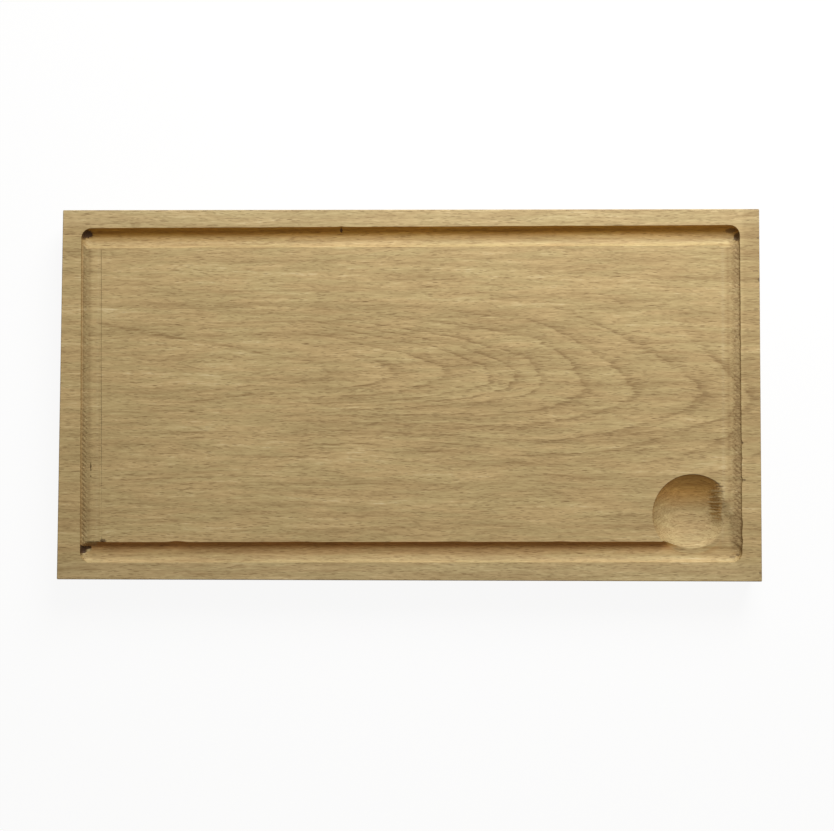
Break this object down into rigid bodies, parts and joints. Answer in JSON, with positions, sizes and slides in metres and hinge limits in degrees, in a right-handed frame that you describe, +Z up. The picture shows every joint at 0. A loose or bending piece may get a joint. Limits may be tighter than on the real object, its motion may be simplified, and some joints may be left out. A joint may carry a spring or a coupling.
{
  "type": "steak board",
  "caption": "Flat oak steak board with a juice groove round its top face that drains into a round sauce hollow in the front right corner.",
  "frame": {"origin": "middle of the underside, under the middle of the outline's box", "axes": "+X along the board and its grain, towards the end with the sauce hollow; +Y away from the person who eats; +Z up out of the top face"},
  "size_m": [0.341, 0.18, 0.02],
  "materials": {
    "oak": "bare flat-sawn oak, sanded, with open pores and growth rings along the board"
  },
  "bodies": {
    "root": {"board": "oak"}
  },
  "joints": []
}
